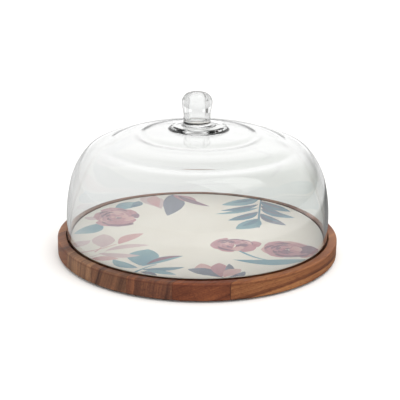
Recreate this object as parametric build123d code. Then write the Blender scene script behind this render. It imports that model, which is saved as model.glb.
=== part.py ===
from build123d import *
import os
from math import atan2, cos, degrees, radians, sin, sqrt

# Cheese dome: a round board of glued wooden staves with an enamelled serving surface, and a clear
# glass dome with a hollow knob that stands loose in a groove of the board.
# Millimetres. The origin is the middle of the floor under the board, +Z is up, and -Y is the front.

# Board
board_diameter = 300.0
board_thickness = 18.0
top_edge_round = 2.0
bottom_edge_bevel = 1.0
rim_width = 8.9
rim_inner_bevel = 0.5
groove_depth = 5.0

# Staves: parallel strips of wood, glued side to side. The outer two reach the edge of the board.
stave_count = 7
stave_width = 45.0
middle_stave_offset = -1.8
grain_angle = 55.0

# Enamel on the raised centre of the board
enamel_thickness = 0.7
enamel_edge_round = 0.35

# Rubber feet under the board
foot_count = 3
foot_diameter = 18.0
foot_height = 2.0
foot_taper = 0.8
foot_edge_margin = 3.0
first_foot_angle = -124.0

# Glass dome, from its foot up: an arc that bulges the wall, two round the shoulder, a hollow step
# and the edge of the crown. Each arc has a radius and a turn, and the straight wall takes up the rest.
dome_height = 121.7
glass_wall = 3.0
groove_clearance = 1.15
glass_foot_round = 1.2
bulge_radius, bulge_turn = 167.0, 14.0
side_radius, side_turn = 71.0, 28.5
shoulder_radius, shoulder_turn = 24.0, 42.5
hollow_radius, hollow_turn = 27.0, -25.0
crown_edge_radius, crown_edge_turn = 50.0, 17.0

# Boss in the middle of the dome, which carries the knob
boss_diameter = 64.0
boss_rise = 2.3
boss_edge_round = 3.2

# Knob, with a sealed bubble inside
knob_diameter = 32.2
knob_height = 35.4
neck_diameter = 28.4
neck_length = 9.5
knob_foot_flare = 4.0
knob_foot_lip = 0.8
knob_top_depth = 11.2
bubble_diameter = 18.0
bubble_floor = 5.0
bubble_roof = 3.4
bubble_floor_round = 2.0
bubble_top_depth = 6.0
top_fullness = 0.93

# Places that follow from the sizes
board_radius = board_diameter / 2
board_top = foot_height + board_thickness
groove_floor = board_top - groove_depth
dome_radius = board_radius - rim_width - groove_clearance
groove_width = glass_wall + 2 * groove_clearance
plateau_radius = board_radius - rim_width - groove_width
crown_top = groove_floor + dome_height
boss_top = crown_top + boss_rise

OUT, UP, IN, SHARP = 0.0, 90.0, 180.0, 0.0


def trace(start, heading, steps):
    """Edges in the X-Z plane that leave start at heading degrees, with their end and last heading.

    A step is a length, or (radius, turn), where a positive turn is to the left. A radius of SHARP
    turns on the spot.
    """
    x, z = start
    edges = []
    for step in steps:
        if isinstance(step, tuple):
            radius, turn = step
            middle, last = radians(heading + turn / 2), radians(heading + turn)
            side = radius if turn > 0 else -radius
            centre_x = x - side * sin(radians(heading))
            centre_z = z + side * cos(radians(heading))
            via = (centre_x + side * sin(middle), 0, centre_z - side * cos(middle))
            end = (centre_x + side * sin(last), centre_z - side * cos(last))
            heading += turn
            if radius != SHARP:
                edges.append(ThreePointArc((x, 0, z), via, (end[0], 0, end[1])))
        else:
            end = (x + step * cos(radians(heading)), z + step * sin(radians(heading)))
            edges.append(Line((x, 0, z), (end[0], 0, end[1])))
        x, z = end
    return edges, (x, z), heading


def turned(bottom, steps):
    """The solid turned about Z. Its outline leaves the axis outwards at bottom, and comes back to it."""
    edges, end, _ = trace((0, bottom), OUT, steps)
    axis = Line((0, 0, end[1]), (0, 0, bottom))
    return revolve(make_face(edges + [axis]), Axis.Z, 360)


def bevel(size):
    """Steps of a left-hand corner that is cut off at 45 degrees."""
    return [(SHARP, 45), size * sqrt(2), (SHARP, 45)]


def shifted(rise, out):
    """Steps of a soft S-curve that climbs by rise and ends out further from the axis, or nearer."""
    if out == 0:
        return [rise]
    lean = 2 * degrees(atan2(abs(out), rise))
    radius = rise / (2 * sin(radians(lean)))
    turn = -lean if out > 0 else lean
    return [(radius, turn), (radius, -turn)]


def rounded_top(radius, depth):
    """Steps of a low domed top, from its widest place up to the axis: a corner and a flatter crown."""
    corner = top_fullness * min(radius, depth)
    across = radius - corner
    crown = (across**2 + depth**2 - corner**2) / (2 * (depth - corner))
    corner_turn = degrees(atan2(crown - depth, across))
    return [(corner, corner_turn), (crown, 90 - corner_turn)]


def board_blank():
    """The whole wooden board, with its rim, groove and raised centre."""
    return turned(foot_height, [
        board_radius - bottom_edge_bevel,
        *bevel(bottom_edge_bevel),
        board_thickness - bottom_edge_bevel - top_edge_round,
        (top_edge_round, 90),
        rim_width - top_edge_round - rim_inner_bevel,
        *bevel(rim_inner_bevel),
        groove_depth - rim_inner_bevel,
        (SHARP, -90),
        groove_width,
        (SHARP, -90),
        groove_depth,
        (SHARP, 90),
        plateau_radius,
    ])


def stave_slab(index):
    """The straight slab that one stave is sawn from. The outer two go past the edge of the board."""
    past_edge = board_radius + 1
    first_joint = middle_stave_offset - stave_width * (stave_count / 2 - 1)
    low = -past_edge if index == 0 else first_joint + stave_width * (index - 1)
    high = past_edge if index == stave_count - 1 else first_joint + stave_width * index
    slab = Box(high - low, 2 * past_edge, 2 * board_top)
    return Rot(0, 0, grain_angle - 90) * Pos((low + high) / 2, 0, 0) * slab


def enamel_top():
    """The enamel on the raised centre, with a rounded upper edge."""
    return turned(board_top, [
        plateau_radius,
        (SHARP, 90),
        enamel_thickness - enamel_edge_round,
        (enamel_edge_round, 90),
        plateau_radius - enamel_edge_round,
    ])


def foot(index):
    """A low round foot, a little narrower where it meets the floor."""
    radius = foot_diameter / 2
    pad = Pos(0, 0, foot_height / 2) * Cone(radius - foot_taper, radius, foot_height)
    reach = board_radius - foot_edge_margin - radius
    angle = first_foot_angle + index * 360 / foot_count
    return Rot(0, 0, angle) * Pos(reach, 0, 0) * pad


def dome_form(inset):
    """The dome as if it were solid, with its surface set in from the outer one."""
    foot_round = min(glass_foot_round, 0.45 * glass_wall)
    arcs = [
        (bulge_radius - inset, bulge_turn),
        (side_radius - inset, side_turn),
        (shoulder_radius - inset, shoulder_turn),
        (hollow_radius + inset, hollow_turn),
        (crown_edge_radius - inset, crown_edge_turn),
    ]
    _, (reach, rise), heading = trace((dome_radius - inset, 0), UP, arcs)
    crown_radius = reach / sin(radians(heading))
    crown_rise = crown_radius * (1 + cos(radians(heading)))
    wall = dome_height - inset - foot_round - rise - crown_rise
    above_foot = [wall] + arcs + [(crown_radius, IN - heading)]
    if inset == 0:
        base = [dome_radius - foot_round, (foot_round, 90)]
    else:
        base = [dome_radius - inset + foot_round, (SHARP, 180), (foot_round, -90)]
    return turned(groove_floor, base + above_foot)


def boss():
    """The round pad of glass on the crown, with a stem that ends inside the dome."""
    radius = boss_diameter / 2
    depth = boss_rise + dome_height / 4
    return turned(boss_top - depth, [
        radius,
        (SHARP, 90),
        depth - boss_edge_round,
        (boss_edge_round, 90),
        radius - boss_edge_round,
    ])


def dome_shell():
    """The blown glass dome, open below, with its boss."""
    return dome_form(0) + boss() - dome_form(glass_wall)


def dome_knob():
    """The knob on its flared foot: a neck, a round head and the sealed bubble."""
    neck, head = neck_diameter / 2, knob_diameter / 2
    glass = turned(boss_top, [
        neck + knob_foot_flare,
        (SHARP, 90),
        knob_foot_lip,
        (SHARP, 90),
        (knob_foot_flare, -90),
        neck_length - knob_foot_lip - knob_foot_flare,
        *shifted(knob_height - knob_top_depth - neck_length, head - neck),
        *rounded_top(head, knob_top_depth),
    ])
    radius = bubble_diameter / 2
    tall = knob_height - bubble_floor - bubble_roof
    bubble = turned(boss_top + bubble_floor, [
        radius - bubble_floor_round,
        (bubble_floor_round, 90),
        tall - bubble_floor_round - bubble_top_depth,
        *rounded_top(radius, bubble_top_depth),
    ])
    return glass - bubble


def write(name, shape):
    export_step(shape, f"parts/{name}.step")


os.makedirs("parts", exist_ok=True)
blank = board_blank()
for number in range(stave_count):
    write(f"stave_{number + 1}", blank & stave_slab(number))
write("enamel_top", enamel_top())
for number in range(foot_count):
    write(f"foot_{number + 1}", foot(number))
write("dome_shell", dome_shell())
write("dome_knob", dome_knob())
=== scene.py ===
import random
from math import acos, atan2, cos, degrees, exp, hypot, log, pi, radians, sin

import bpy
from mathutils import Matrix, Vector
from mathutils.geometry import delaunay_2d_cdt


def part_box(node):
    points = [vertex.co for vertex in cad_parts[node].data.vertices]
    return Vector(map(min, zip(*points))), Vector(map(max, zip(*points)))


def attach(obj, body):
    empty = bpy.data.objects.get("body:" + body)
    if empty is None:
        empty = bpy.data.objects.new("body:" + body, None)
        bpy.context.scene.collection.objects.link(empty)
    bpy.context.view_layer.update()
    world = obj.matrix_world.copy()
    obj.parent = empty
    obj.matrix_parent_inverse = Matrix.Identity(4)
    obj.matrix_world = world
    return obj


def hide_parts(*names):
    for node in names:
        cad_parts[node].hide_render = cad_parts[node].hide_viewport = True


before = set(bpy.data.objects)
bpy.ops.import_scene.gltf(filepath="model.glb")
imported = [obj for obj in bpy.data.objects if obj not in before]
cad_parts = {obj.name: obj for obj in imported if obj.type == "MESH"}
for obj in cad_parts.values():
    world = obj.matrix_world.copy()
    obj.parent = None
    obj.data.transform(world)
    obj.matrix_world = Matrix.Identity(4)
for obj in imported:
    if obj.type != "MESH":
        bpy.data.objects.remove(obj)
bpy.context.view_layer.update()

# A clear glass cheese dome on a round wooden board with a printed enamel top. Lengths in outlines
# and in the print are millimetres, and MM turns them into metres. The front is at -Y.
MM = 0.001

# Board and staves, as in the CAD model
rim_width = 8.9
board_radius = 150.0
board_top = 1000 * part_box("enamel_top")[0].z
grain_angle = 55.0
stave_count = 7
stave_width = 45.0
middle_stave_offset = -1.8
first_joint = middle_stave_offset - stave_width * (stave_count / 2 - 1)
foot_count = 3

# Enamel
plateau_radius = 1000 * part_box("enamel_top")[1].x
enamel_z = 1000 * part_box("enamel_top")[1].z
enamel_edge_round = 0.35

# Glass dome: the same outline as the CAD model, with soft joins where the glass was fused
groove_floor = 1000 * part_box("dome_shell")[0].z
dome_radius = 1000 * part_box("dome_shell")[1].x
dome_height = 121.7
glass_wall = 3.0
foot_round = 1.2
bulge = (167.0, 14.0)
side = (71.0, 28.5)
shoulder = (24.0, 42.5)
hollow = (27.0, -25.0)
crown_edge = (50.0, 17.0)

# A ring in the crown where the blown glass is a little thicker: its radius, spread and extra depth
mark_radius, mark_width, mark_depth = 62.0, 5.0, 0.45

# Boss on the crown, which slopes down to it by crown_heading, and the knob with its bubble
crown_heading = 176.0
boss_foot_radius = 34.0
boss_top = 1000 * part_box("dome_knob")[0].z
boss_edge_round = 3.2
boss_foot_round = 4.0
knob_top = 1000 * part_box("dome_knob")[1].z
knob_radius = 16.1
neck_radius = 14.2
neck_length = 9.5
flare = 4.0
lip_round = 0.4
lip_height = 2 * lip_round
lip_flat = 0.1
knob_top_depth = 11.2
bubble_radius = 9.0
bubble_floor = 5.0
bubble_roof = 3.4
bubble_floor_round = 2.0
bubble_top_depth = 6.0
top_fullness = 0.93

# The knob sits to the left of the axis, and its foot leans over to it within lean_height
knob_lean = 2.0
lean_height = 3.0

WHITE, BLACK = (1, 1, 1, 1), (0, 0, 0, 1)
OUT, UP, IN = 0.0, 90.0, 180.0
ROUND_STEPS = 224
ARC_STEP = 5.0
LONG_STEP = 2.5
AXIS_GAP = 0.02
BLADE_STEPS = 13
STALK_STEPS = 12


# ---------------------------------------------------------------- outlines and turned meshes

def trace(start, heading, steps):
    """Points of an outline that leaves start at heading degrees. A step is a length or (radius, turn)."""
    x, z = start
    points = [(x, z)]
    for step in steps:
        if isinstance(step, tuple):
            radius, turn = step
            lean = radius if turn > 0 else -radius
            centre = (x - lean * sin(radians(heading)), z + lean * cos(radians(heading)))
            count = max(2, round(abs(turn) / ARC_STEP), round(radians(abs(turn)) * radius / LONG_STEP))
            for number in range(1, count + 1):
                angle = radians(heading + turn * number / count)
                points.append((centre[0] + lean * sin(angle), centre[1] - lean * cos(angle)))
            heading += turn
        else:
            points.append((x + step * cos(radians(heading)), z + step * sin(radians(heading))))
        x, z = points[-1]
    return points, heading


def rounded_top(radius, depth):
    """Steps of a low domed top, from its widest place up to the axis."""
    corner = top_fullness * min(radius, depth)
    across = radius - corner
    crown = (across**2 + depth**2 - corner**2) / (2 * (depth - corner))
    turn = degrees(atan2(crown - depth, across))
    return [(corner, turn), (crown, 90 - turn)]


def wall_outline(inset):
    """The dome's wall from above its rounded foot up to the axis, set in from the outer surface.

    The outer one, with an inset of 0, is smooth. An inner one dips at the mark in the crown.
    """
    arcs = [
        (bulge[0] - inset, bulge[1]),
        (side[0] - inset, side[1]),
        (shoulder[0] - inset, shoulder[1]),
        (hollow[0] + inset, hollow[1]),
        (crown_edge[0] - inset, crown_edge[1]),
    ]
    points, heading = trace((dome_radius - inset, 0), UP, arcs)
    reach, rise = points[-1]
    crown_radius = reach / sin(radians(heading))
    crown_rise = crown_radius * (1 + cos(radians(heading)))
    wall = dome_height - inset - foot_round - rise - crown_rise
    start = (dome_radius - inset, groove_floor + foot_round)
    points, _ = trace(start, UP, [wall / 2, wall / 2] + arcs + [(crown_radius, IN - heading)])
    if inset == 0:
        return points
    return [(x, z - mark_depth * exp(-((x - mark_radius) / mark_width) ** 2)) for x, z in points]


def boss_and_knob(crown):
    """The outline from the crown's surface over the boss and the knob, up to the axis."""
    low = next(p for p in crown if p[0] < boss_foot_radius)
    climb = boss_top - low[1]
    slope = degrees(acos(1 - climb / (boss_foot_round + boss_edge_round)))
    swell = knob_top - boss_top - knob_top_depth - neck_length
    lean = 2 * degrees(atan2(knob_radius - neck_radius, swell))
    curve = swell / (2 * sin(radians(lean)))
    points, _ = trace(low, crown_heading, [
        (boss_foot_round, -slope),
        (boss_edge_round, slope + IN - crown_heading),
    ])
    edge = points[-1][0]
    foot = neck_radius + flare
    knob, _ = trace((edge, boss_top), IN, [
        edge - foot - lip_round,
        (lip_round, -90),
        (lip_round, 90),
        lip_flat,
        (flare - lip_round - lip_flat, -90),
        neck_length - lip_height - flare + lip_round + lip_flat,
        (curve, -lean),
        (curve, lean),
        *rounded_top(knob_radius, knob_top_depth),
    ])
    return points[1:], knob[1:]


def turned_mesh(name, outlines):
    """A mesh of outlines turned about Z. Each one is (points, flip), and its end at the axis is a pole."""
    verts, faces = [], []
    for points, flip in outlines:
        rings = []
        for x, z in points:
            if x < AXIS_GAP:
                rings.append([len(verts)])
                verts.append((0, 0, z * MM))
                continue
            rings.append(list(range(len(verts), len(verts) + ROUND_STEPS)))
            for number in range(ROUND_STEPS):
                angle = 2 * pi * number / ROUND_STEPS
                verts.append((x * MM * cos(angle), x * MM * sin(angle), z * MM))
        for low, high in zip(rings, rings[1:]):
            for number in range(ROUND_STEPS):
                after = (number + 1) % ROUND_STEPS
                if len(low) == 1:
                    face = [low[0], high[after], high[number]]
                elif len(high) == 1:
                    face = [low[number], low[after], high[0]]
                else:
                    face = [low[number], low[after], high[after], high[number]]
                faces.append(face[::-1] if flip else face)
    mesh = bpy.data.meshes.new(name)
    mesh.from_pydata(verts, [], faces)
    mesh.shade_smooth()
    return mesh


def glass_mesh():
    """The whole glass: the skin of dome, boss and knob in one, and the bubble inside the knob."""
    outer, inner = wall_outline(0), wall_outline(glass_wall)
    boss_edge, knob_outline = boss_and_knob(outer)
    foot_bottom, _ = trace((dome_radius - glass_wall, groove_floor + foot_round), -UP, [
        (foot_round, 90),
        glass_wall - 2 * foot_round,
        (foot_round, 90),
    ])
    before_boss = [p for p in outer if p[0] >= boss_foot_radius]
    boss_foot = next(p for p in outer if p[0] < boss_foot_radius)
    skin = inner[::-1] + foot_bottom[1:-1] + before_boss + [boss_foot] + boss_edge + knob_outline
    tall = knob_top - boss_top - bubble_floor - bubble_roof
    bubble, _ = trace((0, boss_top + bubble_floor), OUT, [
        bubble_radius - bubble_floor_round,
        (bubble_floor_round, 90),
        tall - bubble_floor_round - bubble_top_depth,
        *rounded_top(bubble_radius, bubble_top_depth),
    ])
    mesh = turned_mesh("glass_dome", [(skin, False), (bubble, True)])
    for vertex in mesh.vertices:
        risen = (vertex.co.z / MM - boss_top) / lean_height
        vertex.co.x -= knob_lean * MM * min(max(risen, 0), 1)
    return mesh


def add(name, mesh, *materials):
    piece = bpy.data.objects.new(name, mesh)
    bpy.context.scene.collection.objects.link(piece)
    for material in materials:
        mesh.materials.append(material)
    return piece


# ---------------------------------------------------------------- materials

def new_material(name):
    material = bpy.data.materials.new(name)
    material.use_nodes = True
    nodes = material.node_tree.nodes
    return material, nodes, material.node_tree.links, nodes["Principled BSDF"]


def srgb(red, green, blue):
    """A linear colour from one in 0 to 255, as a colour picker shows it."""
    parts = [value / 255 for value in (red, green, blue)]
    return tuple(v / 12.92 if v <= 0.04045 else ((v + 0.055) / 1.055) ** 2.4 for v in parts) + (1,)


def node(nodes, kind, **settings):
    made = nodes.new("ShaderNode" + kind)
    for name, value in settings.items():
        setattr(made, name, value)
    return made


def calc(nodes, links, operation, *values):
    """A Math node whose inputs are numbers or sockets, and its output socket."""
    made = node(nodes, "Math", operation=operation)
    for number, value in enumerate(values):
        if hasattr(value, "links"):
            links.new(value, made.inputs[number])
        else:
            made.inputs[number].default_value = value
    return made.outputs[0]


def weighted(nodes, links, parts):
    """The sum of (socket, weight) pairs."""
    total = calc(nodes, links, "MULTIPLY", *parts[0])
    for part in parts[1:]:
        total = calc(nodes, links, "ADD", total, calc(nodes, links, "MULTIPLY", *part))
    return total


def noise(nodes, links, vector, scale, detail=3.0, stretch=(1, 1, 1), roughness=0.5):
    """A noise texture on a vector that is stretched first, and its value socket."""
    mapping = node(nodes, "Mapping")
    mapping.inputs["Scale"].default_value = stretch
    links.new(vector, mapping.inputs["Vector"])
    texture = node(nodes, "TexNoise")
    texture.inputs["Scale"].default_value = scale
    texture.inputs["Detail"].default_value = detail
    texture.inputs["Roughness"].default_value = roughness
    links.new(mapping.outputs["Vector"], texture.inputs["Vector"])
    return texture.outputs["Fac"]


def ramp(nodes, links, value, stops):
    """A colour ramp of (position, colour) stops, and its colour socket."""
    made = node(nodes, "ValToRGB")
    elements = made.color_ramp.elements
    for number, (position, colour) in enumerate(stops):
        stop = elements[number] if number < 2 else elements.new(position)
        stop.position, stop.color = position, colour
    links.new(value, made.inputs["Fac"])
    return made.outputs["Color"]


def mixed(nodes, links, factor, first, second):
    """A colour mix whose inputs are colours or sockets, and its colour socket."""
    made = node(nodes, "Mix", data_type="RGBA")
    for socket, value in ((made.inputs[0], factor), (made.inputs[6], first), (made.inputs[7], second)):
        if hasattr(value, "links"):
            links.new(value, socket)
        else:
            socket.default_value = value
    return made.outputs[2]


def bumped(nodes, links, shader, height, strength, distance):
    """Raises the shader's surface by a height socket, up to distance in metres."""
    bump = node(nodes, "Bump")
    bump.inputs["Strength"].default_value = strength
    bump.inputs["Distance"].default_value = distance
    links.new(height, bump.inputs["Height"])
    links.new(bump.outputs["Normal"], shader.inputs["Normal"])


def glass_material(name, onset, edge_on):
    """Clear glass with painted shade at its edges: it turns greyer where it is seen edge on, from the
    facing value onset, to edge_on.
    """
    material, nodes, links, shader = new_material(name)
    shader.inputs["Transmission Weight"].default_value = 1.0
    shader.inputs["Roughness"].default_value = 0.0
    shader.inputs["IOR"].default_value = 1.5
    rim = node(nodes, "LayerWeight")
    rim.inputs["Blend"].default_value = 0.5
    clear, grey = (0.985, 0.99, 0.985, 1), (edge_on, edge_on, edge_on, 1)
    painted_edge_shade = ramp(nodes, links, rim.outputs["Facing"], [(onset, clear), (1.0, grey)])
    links.new(painted_edge_shade, shader.inputs["Base Color"])
    return material


def wood_material(index, ring_tilt, dark, middle, light):
    """Oiled acacia. The grain runs along the stave, so the rim shows end grain where it crosses it."""
    seam_width, seam_shade = 0.28, 0.7
    stain_and_shade_strength = 0.35
    edge_band_below, edge_band_width, edge_band_strength = 2.1, 0.9, 0.32
    material, nodes, links, shader = new_material(f"acacia_{index + 1}")
    place = node(nodes, "TexCoord")
    turned = node(nodes, "Mapping")
    turned.inputs["Rotation"].default_value = (0, 0, -radians(grain_angle))
    links.new(place.outputs["Object"], turned.inputs["Vector"])
    along = turned.outputs["Vector"]
    axes = node(nodes, "SeparateXYZ")
    links.new(along, axes.inputs["Vector"])

    # Each stave takes its grain from another place in the wood
    shifted = node(nodes, "VectorMath", operation="ADD")
    shifted.inputs[1].default_value = (3.1 * index, 0.37 * index, 0.11 * index)
    links.new(along, shifted.inputs[0])
    body = shifted.outputs["Vector"]

    # Growth rings, tilted across the stave and drifting along it
    drift = noise(nodes, links, body, 16, 2, (0.35, 1, 1))
    across = calc(nodes, links, "MULTIPLY", axes.outputs["Y"], cos(radians(ring_tilt)))
    deep = calc(nodes, links, "MULTIPLY", axes.outputs["Z"], sin(radians(ring_tilt)))
    level = calc(nodes, links, "ADD", across, deep)
    ring = calc(nodes, links, "ADD", level, calc(nodes, links, "MULTIPLY", drift, 0.012))
    bands = node(nodes, "TexNoise", noise_dimensions="1D")
    bands.inputs["Scale"].default_value = 150
    bands.inputs["Detail"].default_value = 3
    bands.inputs["Roughness"].default_value = 0.62
    links.new(calc(nodes, links, "ADD", ring, 0.7 * index), bands.inputs["W"])

    # Fibres, broad patches and short dark pores
    fibre = noise(nodes, links, body, 520, 3, (0.03, 1, 1), 0.6)
    cloud = noise(nodes, links, body, 22, 3, (0.5, 1, 1))
    pore = noise(nodes, links, body, 1100, 1, (0.03, 1, 1))
    value = weighted(nodes, links, [(bands.outputs["Fac"], 0.62), (fibre, 0.22), (cloud, 0.34)])
    colour = ramp(nodes, links, value, [(0.40, dark), (0.76, light), (0.57, middle)])
    flecks = ramp(nodes, links, pore, [(0.30, WHITE), (0.42, BLACK)])
    colour = mixed(nodes, links, calc(nodes, links, "MULTIPLY", flecks, 0.55), colour, dark)

    # Dark glue joints; the groove inside the rim darkened, partly by a darker stain and partly by painted
    # shade; and a redder line under the rounded upper edge
    for joint in (first_joint + stave_width * (index - 1), first_joint + stave_width * index):
        seam = calc(nodes, links, "COMPARE", axes.outputs["Y"], -joint * MM, seam_width * MM)
        shade = calc(nodes, links, "MULTIPLY", seam, seam_shade)
        colour = mixed(nodes, links, shade, colour, srgb(52, 26, 16))
    # Painted shade and a real stain together: the wood in the groove under the dome's foot is darkened.
    groove_stain_and_shade = calc(nodes, links, "MULTIPLY", in_groove(nodes, links, place), stain_and_shade_strength)
    colour = mixed(nodes, links, groove_stain_and_shade, colour, srgb(66, 36, 20))
    edge_band_height = (board_top - edge_band_below) * MM
    edge_band = calc(nodes, links, "COMPARE", axes.outputs["Z"], edge_band_height, edge_band_width * MM)
    shade = calc(nodes, links, "MULTIPLY", edge_band, edge_band_strength)
    colour = mixed(nodes, links, shade, colour, srgb(84, 34, 18))
    links.new(colour, shader.inputs["Base Color"])

    links.new(calc(nodes, links, "MULTIPLY_ADD", fibre, 0.25, 0.38), shader.inputs["Roughness"])
    shader.inputs["Specular IOR Level"].default_value = 0.3
    height = weighted(nodes, links, [(fibre, 0.7), (flecks, -0.5)])
    bumped(nodes, links, shader, height, 0.45, 0.0003)
    return material


def in_groove(nodes, links, place):
    """A value of 1 on the wood inside the rim, and 0 on the rim itself."""
    flat = node(nodes, "VectorMath", operation="MULTIPLY")
    flat.inputs[1].default_value = (1, 1, 0)
    links.new(place.outputs["Object"], flat.inputs[0])
    reach = node(nodes, "VectorMath", operation="LENGTH")
    links.new(flat.outputs["Vector"], reach.inputs[0])
    axes = node(nodes, "SeparateXYZ")
    links.new(place.outputs["Object"], axes.inputs["Vector"])
    past_corner = 0.2
    rim_inside = board_radius - rim_width + past_corner
    inside = calc(nodes, links, "LESS_THAN", reach.outputs["Value"], rim_inside * MM)
    above = calc(nodes, links, "GREATER_THAN", axes.outputs["Z"], (groove_floor - 1) * MM)
    return calc(nodes, links, "MULTIPLY", inside, above)


def enamel_shader(name, colour_of):
    """Glossy fired enamel. colour_of(nodes, links, place) gives the colour socket."""
    material, nodes, links, shader = new_material(name)
    place = node(nodes, "TexCoord")
    links.new(colour_of(nodes, links, place.outputs["Object"]), shader.inputs["Base Color"])
    ripple = noise(nodes, links, place.outputs["Object"], 130, 2)
    bumped(nodes, links, shader, ripple, 0.08, 0.0004)
    shader.inputs["Roughness"].default_value = 0.24
    shader.inputs["Coat Weight"].default_value = 0.25
    shader.inputs["Coat Roughness"].default_value = 0.08
    return material


def cream(nodes, links, place):
    """The bare enamel's colour, a little uneven."""
    cloud = noise(nodes, links, place, 30, 3)
    return ramp(nodes, links, cloud, [(0.3, srgb(226, 220, 207)), (0.7, srgb(231, 226, 214))])


def ink(deep, pale):
    """A brushed print colour: deeper at the root of a leaf or petal, with streaks along it."""
    def colour_of(nodes, links, place):
        along = node(nodes, "Attribute", attribute_name="along")
        across = node(nodes, "Attribute", attribute_name="across")
        stroke = node(nodes, "CombineXYZ")
        links.new(along.outputs["Fac"], stroke.inputs["X"])
        links.new(across.outputs["Fac"], stroke.inputs["Y"])
        streak = noise(nodes, links, stroke.outputs["Vector"], 1.0, 3, (1.6, 5.5, 1), 0.6)
        pool = noise(nodes, links, place, 60, 4)
        value = weighted(nodes, links, [(along.outputs["Fac"], 0.45), (streak, 0.6), (pool, 0.3)])
        return ramp(nodes, links, value, [(0.35, deep), (0.95, pale)])
    return colour_of


def rubber_material():
    """Dark rubber with a fine grain."""
    material, nodes, links, shader = new_material("dark_rubber")
    place = node(nodes, "TexCoord")
    grain = noise(nodes, links, place.outputs["Generated"], 900, 2)
    colour = ramp(nodes, links, grain, [(0.0, (0.012, 0.011, 0.010, 1)), (1.0, (0.035, 0.032, 0.030, 1))])
    links.new(colour, shader.inputs["Base Color"])
    bumped(nodes, links, shader, grain, 0.2, 0.0003)
    shader.inputs["Roughness"].default_value = 0.7
    return material


# ---------------------------------------------------------------- print on the enamel

# Each ink's deeper and paler colour
INKS = {
    "teal": (srgb(85, 134, 152), srgb(129, 165, 171)),
    "deep_teal": (srgb(60, 102, 126), srgb(99, 138, 152)),
    "slate": (srgb(80, 86, 110), srgb(113, 120, 134)),
    "plum": (srgb(102, 65, 86), srgb(138, 99, 118)),
    "rose": (srgb(157, 99, 112), srgb(189, 138, 143)),
    "peach": (srgb(191, 136, 136), srgb(205, 166, 161)),
    "pale_pink": (srgb(194, 166, 166), srgb(208, 187, 184)),
}
ink_names = list(INKS)
print_shapes = []


def blade(base, tip, width, bend=0.0, belly=0.5, colour="teal", ragged=0.0, seed=0):
    """Adds a leaf or petal from base to tip. belly is where along it the blade is widest.

    bend is how far it curves to the left, as a share of its length, and ragged how uneven its edge is.
    """
    dice = random.Random(seed)
    length = hypot(tip[0] - base[0], tip[1] - base[1])
    ahead = ((tip[0] - base[0]) / length, (tip[1] - base[1]) / length)
    aside = (-ahead[1], ahead[0])
    power = log(0.5) / log(belly)
    edge = []
    for side_of, steps in ((1, range(BLADE_STEPS + 1)), (-1, range(BLADE_STEPS - 1, 0, -1))):
        for number in steps:
            t = number / BLADE_STEPS
            half = side_of * width / 2 * sin(pi * t**power) ** 0.8
            half *= 1 + ragged * dice.uniform(-1, 1)
            sway = 4 * bend * t * (1 - t) * length
            out = half + sway
            edge.append(tuple(base[k] + ahead[k] * t * length + aside[k] * out for k in (0, 1)))
    print_shapes.append({"edge": edge, "colour": colour, "base": base, "ahead": ahead, "aside": aside,
                         "length": length, "width": width, "seed": seed})


def stalk(points, width, colour):
    """Adds a thin stem through three points."""
    (ax, ay), (bx, by), (cx, cy) = points
    spine = []
    for number in range(STALK_STEPS + 1):
        t = number / STALK_STEPS
        spine.append(tuple((1 - t) ** 2 * a + 2 * t * (1 - t) * b + t * t * c
                           for a, b, c in ((ax, bx, cx), (ay, by, cy))))
    left, right = [], []
    for number, (x, y) in enumerate(spine):
        before, after = spine[max(0, number - 1)], spine[min(STALK_STEPS, number + 1)]
        run = hypot(after[0] - before[0], after[1] - before[1])
        across = ((before[1] - after[1]) / run, (after[0] - before[0]) / run)
        half = width / 2 * (1.1 - 0.5 * number / STALK_STEPS)
        left.append((x + across[0] * half, y + across[1] * half))
        right.append((x - across[0] * half, y - across[1] * half))
    length = hypot(cx - ax, cy - ay)
    ahead = ((cx - ax) / length, (cy - ay) / length)
    print_shapes.append({"edge": left + right[::-1], "colour": colour, "base": (ax, ay), "ahead": ahead,
                         "aside": (-ahead[1], ahead[0]), "length": length, "width": 8 * width, "seed": 1})


def bloom(centre, size, turn, colours, seed):
    """Adds a full open flower: four rings of broad petals with deeper folds between them."""
    dice = random.Random(seed)
    cx, cy = centre
    # Petals in the ring, and where they start, how far they reach and how broad they are, as shares
    rings = ((8, 0.12, 1.0, 0.92), (6, 0.06, 0.74, 0.80), (5, 0.0, 0.50, 0.62), (3, 0.0, 0.27, 0.40))
    for ring, (count, inset, reach, broad) in enumerate(rings):
        for number in range(count):
            angle = radians(turn + 360 * (number + 0.5 * ring) / count + dice.uniform(-14, 14))
            long = reach * dice.uniform(0.84, 1.08)
            base = (cx + size[0] * inset * cos(angle), cy + size[1] * inset * sin(angle))
            tip = (cx + size[0] * long * cos(angle), cy + size[1] * long * sin(angle))
            colour = colours[(number * 2 + ring + dice.randint(0, 1)) % len(colours)]
            width = broad * reach**0.3 * (size[0] + size[1]) / 2 * dice.uniform(0.8, 1.1)
            blade(base, tip, width, dice.uniform(-0.12, 0.12), 0.70, colour, 0.07, dice.randint(1, 999))
        for number in range(count - 2):
            angle = radians(turn + 360 * (number + 0.2 * ring) / count + dice.uniform(-20, 20))
            start = (cx + size[0] * reach * 0.72 * cos(angle), cy + size[1] * reach * 0.72 * sin(angle))
            end_angle = angle + radians(dice.uniform(38, 66))
            end = (cx + size[0] * reach * 0.8 * cos(end_angle), cy + size[1] * reach * 0.8 * sin(end_angle))
            fold = "plum" if number % 3 else "rose"
            blade(start, end, 0.15 * size[0], -0.16, 0.5, fold, 0.12, dice.randint(1, 999))


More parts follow.
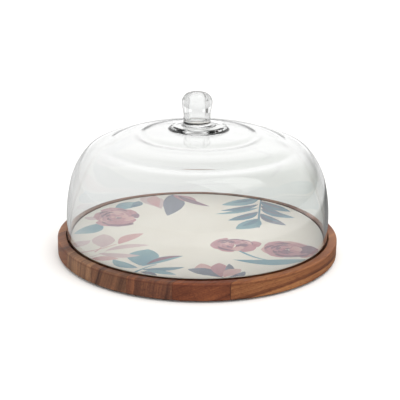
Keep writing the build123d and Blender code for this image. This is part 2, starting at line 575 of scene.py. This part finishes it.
def draw_print():
    """The whole print: three open flowers, a tulip, and sprigs of leaves between them."""
    # Left, at the back: an open rose with two teal leaves
    blade((-94, 62), (-68, 98), 22, 0.1, 0.6, "teal", 0.02, 3)
    blade((-78, 76), (-69, 103), 12, -0.1, 0.6, "deep_teal", 0.02, 4)
    blade((-106, 22), (-132, -14), 22, 0.12, 0.5, "teal", 0.02, 5)
    blade((-108, 38), (-128, 40), 12, 0.1, 0.5, "pale_pink", 0.05, 6)
    bloom((-91, 43), (27, 33), 20, ["rose", "plum", "rose", "peach"], 11)
    # Back: petals and a slate leaf
    blade((-42, 74), (-66, 122), 27, -0.08, 0.62, "pale_pink", 0.02, 7)
    blade((-44, 80), (-52, 126), 16, 0.08, 0.6, "peach", 0.02, 8)
    blade((-30, 132), (-34, 50), 25, 0.05, 0.42, "slate", 0.03, 9)
    blade((-30, 130), (-2, 96), 17, 0.08, 0.5, "rose", 0.03, 10)
    blade((-24, 128), (14, 86), 10, -0.06, 0.5, "plum", 0.03, 12)
    # Right, at the back: a teal sprig
    stalk([(67, 14), (70, 68), (76, 122)], 2.8, "deep_teal")
    for number, (base, tip, width, bend, colour) in enumerate((
        ((73, 122), (28, 92), 22, 0.08, "teal"), ((71, 96), (26, 70), 12, 0.08, "deep_teal"),
        ((71, 84), (20, 58), 9, 0.06, "teal"), ((69, 68), (34, 36), 15, 0.08, "deep_teal"),
        ((68, 44), (42, 8), 23, 0.10, "teal"), ((75, 108), (107, 70), 18, -0.08, "deep_teal"),
        ((74, 92), (101, 54), 11, -0.08, "slate"), ((73, 78), (110, 48), 15, -0.08, "deep_teal"),
        ((72, 62), (98, 22), 15, -0.08, "slate"),
    )):
        blade(base, tip, width, bend, 0.5, colour, 0.03, 40 + number)
        vein_tip = ((base[0] + 3 * tip[0]) / 4, (base[1] + 3 * tip[1]) / 4)
        vein = "slate" if number % 2 else "deep_teal"
        blade(base, vein_tip, 0.3 * width, bend / 2, 0.5, vein, 0.05, 60 + number)
    # Right: two open flowers over a curved stem and a long leaf
    stalk([(40, -52), (56, -84), (84, -88)], 3.2, "teal")
    blade((36, -84), (112, -80), 15, -0.11, 0.55, "teal", 0.02, 13)
    bloom((40, -42), (27, 20), 5, ["rose", "peach", "plum", "rose"], 23)
    bloom((94, -54), (30, 24), 40, ["rose", "rose", "peach", "plum"], 29)
    # Front right: a tulip
    blade((22, -132), (4, -96), 20, 0.12, 0.6, "peach", 0.03, 14)
    blade((26, -134), (-9, -112), 17, -0.1, 0.6, "slate", 0.03, 15)
    blade((24, -133), (22, -94), 17, 0.02, 0.62, "rose", 0.03, 16)
    blade((25, -133), (32, -96), 9, -0.08, 0.6, "slate", 0.03, 17)
    blade((26, -133), (43, -110), 15, 0.1, 0.6, "peach", 0.03, 18)
    blade((27, -133), (47, -116), 9, -0.16, 0.6, "slate", 0.03, 19)
    # Front left: a teal sprig
    blade((-56, -104), (-50, -58), 32, 0.04, 0.55, "teal", 0.02, 20)
    stalk([(-60, -122), (-54, -112), (-40, -100)], 2.6, "teal")
    blade((-58, -110), (-84, -88), 13, 0.12, 0.5, "teal", 0.02, 21)
    blade((-55, -106), (-14, -76), 13, 0.08, 0.5, "teal", 0.02, 22)
    blade((-50, -101), (-15, -76), 7, 0.12, 0.5, "plum", 0.05, 24)
    blade((-54, -114), (-12, -107), 9, -0.06, 0.5, "deep_teal", 0.02, 25)
    blade((-52, -118), (-20, -127), 9, 0.06, 0.5, "teal", 0.02, 26)
    blade((-55, -120), (-38, -133), 8, 0.1, 0.5, "slate", 0.02, 27)
    # Left: a pale sprig with a bud
    stalk([(-124, -72), (-104, -66), (-84, -44)], 2.0, "peach")
    stalk([(-104, -68), (-100, -60), (-98, -50)], 1.6, "peach")
    stalk([(-118, -88), (-104, -82), (-92, -66)], 1.8, "pale_pink")
    for number, (base, tip, width, bend) in enumerate((
        ((-97, -54), (-100, -14), 24, 0.0), ((-82, -44), (-58, -10), 15, 0.1),
        ((-94, -64), (-50, -46), 11, 0.1), ((-100, -71), (-58, -76), 12, -0.08),
        ((-110, -90), (-78, -86), 12, 0.08), ((-126, -56), (-112, -34), 14, 0.1),
    )):
        colour = "peach" if number % 3 == 1 else "pale_pink"
        blade(base, tip, width, bend, 0.52, colour, 0.03, 70 + number)


def shape_on_top(owners):
    """The last drawn of the print shapes that cover a face, or None on bare enamel.

    owners are the outlines around the face. Outline 0 is the enamel's own, and the print's follow.
    """
    shapes = [owner - 1 for owner in owners if owner > 0]
    return max(shapes) if shapes else None


def enamel_mesh():
    """The enamel: a flat printed top, a rounded edge, a side and an underside, closed."""
    draw_print()
    streak_shift = 3.7
    flat_radius = plateau_radius - enamel_edge_round
    ring = [(flat_radius * cos(2 * pi * k / ROUND_STEPS), flat_radius * sin(2 * pi * k / ROUND_STEPS))
            for k in range(ROUND_STEPS)]
    points, outlines = list(ring), [list(range(ROUND_STEPS))]
    for shape in print_shapes:
        outlines.append(list(range(len(points), len(points) + len(shape["edge"]))))
        points += shape["edge"][::-1]
    inside_outlines, merge_distance = 1, 0.01
    flat, _, faces, _, _, owners = delaunay_2d_cdt(
        [Vector(p) for p in points], [], outlines, inside_outlines, merge_distance)
    kept = [(face, own) for face, own in zip(faces, owners) if 0 in own]
    used = sorted({v for face, _ in kept for v in face})
    index = {v: number for number, v in enumerate(used)}
    verts = [(flat[v].x * MM, flat[v].y * MM, enamel_z * MM) for v in used]
    polygons = [[index[v] for v in face] for face, _ in kept]
    tops = [shape_on_top(own) for _, own in kept]

    # The edge of the top is where an edge has one face only. From there the side goes down in rings.
    shared = {}
    for face in polygons:
        for a, b in zip(face, face[1:] + face[:1]):
            shared[frozenset((a, b))] = shared.get(frozenset((a, b)), 0) + 1
    rim = sorted({v for edge, count in shared.items() if count == 1 for v in edge},
                 key=lambda v: atan2(verts[v][1], verts[v][0]))
    side_height = enamel_z - board_top - enamel_edge_round
    profile, _ = trace((flat_radius, enamel_z), OUT, [(enamel_edge_round, -90), side_height])
    last = rim
    for radius, z in profile[1:]:
        now = []
        for v in rim:
            angle = atan2(verts[v][1], verts[v][0])
            now.append(len(verts))
            verts.append((radius * MM * cos(angle), radius * MM * sin(angle), z * MM))
        for number in range(len(rim)):
            after = (number + 1) % len(rim)
            polygons.append([last[number], now[number], now[after], last[after]])
        last = now
    centre = len(verts)
    verts.append((0, 0, board_top * MM))
    for number in range(len(rim)):
        polygons.append([last[(number + 1) % len(rim)], last[number], centre])

    # Each printed face gets its ink, and how far along and across its leaf or petal each corner is
    mesh = bpy.data.meshes.new("enamel_surface")
    mesh.from_pydata(verts, [], polygons)
    along = mesh.attributes.new("along", "FLOAT", "CORNER")
    across = mesh.attributes.new("across", "FLOAT", "CORNER")
    for polygon, top in zip(mesh.polygons, tops):
        if top is None:
            continue
        shape = print_shapes[top]
        polygon.material_index = 1 + ink_names.index(shape["colour"])
        for loop in polygon.loop_indices:
            x, y, _ = mesh.vertices[mesh.loops[loop].vertex_index].co
            dx, dy = x / MM - shape["base"][0], y / MM - shape["base"][1]
            along.data[loop].value = (dx * shape["ahead"][0] + dy * shape["ahead"][1]) / shape["length"]
            sideways = (dx * shape["aside"][0] + dy * shape["aside"][1]) / shape["width"]
            across.data[loop].value = sideways + streak_shift * shape["seed"]
    return mesh


# ---------------------------------------------------------------- pieces

# The knob's glass gets much more painted shade: it goes almost black where it is seen edge on.
blown, solid = glass_material("blown_glass", 0.95, 0.92), glass_material("knob_glass", 0.45, 0.06)
glass = add("glass_dome", glass_mesh(), blown, solid)
for face in glass.data.polygons:
    if face.center.z > (boss_top + lip_height) * MM:
        face.material_index = 1
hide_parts("dome_shell", "dome_knob")
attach(glass, "dome")

colours = [enamel_shader("enamel_cream", cream)]
colours += [enamel_shader("print_" + name, ink(*INKS[name])) for name in ink_names]
enamel = add("enamel_surface", enamel_mesh(), *colours)
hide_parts("enamel_top")
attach(enamel, "board")

# Per stave: the tilt of its rings, and its dark, middle and light browns
woods = [
    (20, srgb(77, 42, 26), srgb(120, 73, 46), srgb(163, 108, 69)),
    (70, srgb(79, 44, 28), srgb(120, 73, 46), srgb(158, 102, 65)),
    (12, srgb(62, 40, 30), srgb(113, 79, 57), srgb(163, 119, 85)),
    (24, srgb(60, 35, 26), srgb(107, 71, 50), srgb(150, 100, 69)),
    (10, srgb(56, 31, 24), srgb(103, 62, 44), srgb(156, 96, 61)),
    (66, srgb(73, 31, 18), srgb(120, 64, 38), srgb(165, 98, 57)),
    (74, srgb(86, 46, 26), srgb(135, 81, 48), srgb(175, 119, 73)),
]
for index, finish in enumerate(woods):
    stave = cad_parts[f"stave_{index + 1}"]
    stave.data.materials.clear()
    stave.data.materials.append(wood_material(index, *finish))

rubber = rubber_material()
for number in range(foot_count):
    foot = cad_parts[f"foot_{number + 1}"]
    foot.data.materials.clear()
    foot.data.materials.append(rubber)


# ---------------------------------------------------------------- floor, light and camera

floor_reach = 6.0
sky_strength = 1.22
floor_share = 1.6
light_target = (0, 0, 0.05)


def in_mirror(nodes, links):
    """A value of 1 for light that a piece has mirrored, and 0 for light seen straight or through glass."""
    path = node(nodes, "LightPath")
    return calc(nodes, links, "GREATER_THAN", path.outputs["Glossy Depth"], 0.5)


def dim_to_the_right(nodes, links, sideways, bright, dim):
    """Bright on the left and dim on the right, as the sideways value goes from -0.5 to 0.5."""
    share = calc(nodes, links, "MULTIPLY_ADD", sideways, 0.5, 0.5)
    left, right = (bright, bright, bright, 1), (dim, dim, dim * 0.98, 1)
    return ramp(nodes, links, share, [(0.25, left), (0.75, right)])


def floor():
    """A large pale floor, plain to the camera. Other rays find it dimmer, most of all on the right."""
    mesh = bpy.data.meshes.new("floor")
    corners = [(x * floor_reach, y * floor_reach, 0) for x, y in ((-1, -1), (1, -1), (1, 1), (-1, 1))]
    mesh.from_pydata(corners, [], [(0, 1, 2, 3)])
    material, nodes, links, shader = new_material("pale_floor")
    place = node(nodes, "TexCoord")
    axes = node(nodes, "SeparateXYZ")
    links.new(place.outputs["Object"], axes.inputs["Vector"])
    reach = node(nodes, "VectorMath", operation="LENGTH")
    links.new(place.outputs["Object"], reach.inputs[0])

    # What a piece mirrors of it is a painted reflection: dimmer to the right near the board, and evenly
    # bright further out
    sideways = calc(nodes, links, "MULTIPLY", axes.outputs["X"], floor_share)
    dim = dim_to_the_right(nodes, links, sideways, 0.80, 0.14)
    far = ramp(nodes, links, reach.outputs["Value"], [(0.37, BLACK), (0.44, WHITE)])
    mirrored = mixed(nodes, links, far, dim, (0.86, 0.86, 0.86, 1))

    # What is seen of it through the glass, which is also what it throws back onto the pieces: painted
    # shade, greyer than what the camera sees and darkest on the right
    share = calc(nodes, links, "MULTIPLY_ADD", axes.outputs["X"], floor_share, 0.5)
    near = ramp(nodes, links, share, [
        (0.15, (0.66, 0.66, 0.655, 1)), (0.88, (0.43, 0.445, 0.415, 1)), (0.50, (0.62, 0.627, 0.62, 1)),
        (0.70, (0.56, 0.575, 0.555, 1)),
    ])
    further = ramp(nodes, links, reach.outputs["Value"], [(0.36, BLACK), (0.52, WHITE)])
    through = mixed(nodes, links, further, near, (0.74, 0.74, 0.74, 1))

    seen = node(nodes, "LightPath").outputs["Is Camera Ray"]
    colour = mixed(nodes, links, seen, through, (0.93, 0.92, 0.90, 1))
    colour = mixed(nodes, links, in_mirror(nodes, links), colour, mirrored)
    links.new(colour, shader.inputs["Base Color"])
    shader.inputs["Roughness"].default_value = 0.9
    shader.inputs["Specular IOR Level"].default_value = 0.1
    add("floor", mesh, material)


def sky():
    """An even white sky. What a piece mirrors of it dims to the right, but not high up or behind."""
    world = bpy.data.worlds.new("studio")
    bpy.context.scene.world = world
    world.use_nodes = True
    nodes, links = world.node_tree.nodes, world.node_tree.links
    place = node(nodes, "TexCoord")
    axes = node(nodes, "SeparateXYZ")
    links.new(place.outputs["Generated"], axes.inputs["Vector"])
    level = dim_to_the_right(nodes, links, axes.outputs["X"], 0.72, 0.20)
    above = ramp(nodes, links, axes.outputs["Z"], [(0.08, BLACK), (0.34, WHITE)])
    behind = ramp(nodes, links, axes.outputs["Y"], [(0.10, BLACK), (0.55, WHITE)])
    onward = ramp(nodes, links, axes.outputs["Y"], [(0.84, BLACK), (0.95, WHITE)])
    lit = calc(nodes, links, "MAXIMUM", calc(nodes, links, "MULTIPLY", above, behind), onward)
    mirrored = mixed(nodes, links, lit, level, (0.95, 0.95, 0.95, 1))
    colour = mixed(nodes, links, in_mirror(nodes, links), WHITE, mirrored)
    links.new(colour, nodes["Background"].inputs["Color"])
    nodes["Background"].inputs["Strength"].default_value = sky_strength


def area_light(name, place, size, power, mirrored):
    """A rectangular light that faces the board. mirrored says whether the pieces show it in their gloss."""
    light = bpy.data.lights.new(name, "AREA")
    light.shape = "RECTANGLE"
    light.size, light.size_y = size
    light.energy = power
    lamp = bpy.data.objects.new(name, light)
    lamp.location = place
    lamp.visible_glossy = mirrored
    lamp.rotation_euler = (Vector(light_target) - Vector(place)).to_track_quat("-Z", "Y").to_euler()
    bpy.context.scene.collection.objects.link(lamp)


def camera():
    """The camera, in front of the dome and above it, which looks down on its middle."""
    data = bpy.data.cameras.new("camera")
    data.lens = 99.74
    data.sensor_width = 36.0
    data.clip_end = 50
    view = bpy.data.objects.new("camera", data)
    view.location = (0, -1.131, 0.421)
    pitch, yaw, roll = radians(-17.89), radians(-0.12), radians(0.8)
    look = Vector((-sin(yaw) * cos(pitch), cos(yaw) * cos(pitch), sin(pitch)))
    turn = look.to_track_quat("-Z", "Y").to_matrix().to_4x4()
    view.matrix_world = Matrix.Translation(view.location) @ turn @ Matrix.Rotation(roll, 4, "Z")
    bpy.context.scene.collection.objects.link(view)
    bpy.context.scene.camera = view


floor()
sky()
area_light("top_light", (0.5, -0.4, 1.6), (1.2, 1.2), 7, False)
area_light("highlight", (0.85, -0.4, 1.6), (0.7, 1.1), 1.6, True)
camera()
bpy.context.scene.view_settings.view_transform = "Standard"
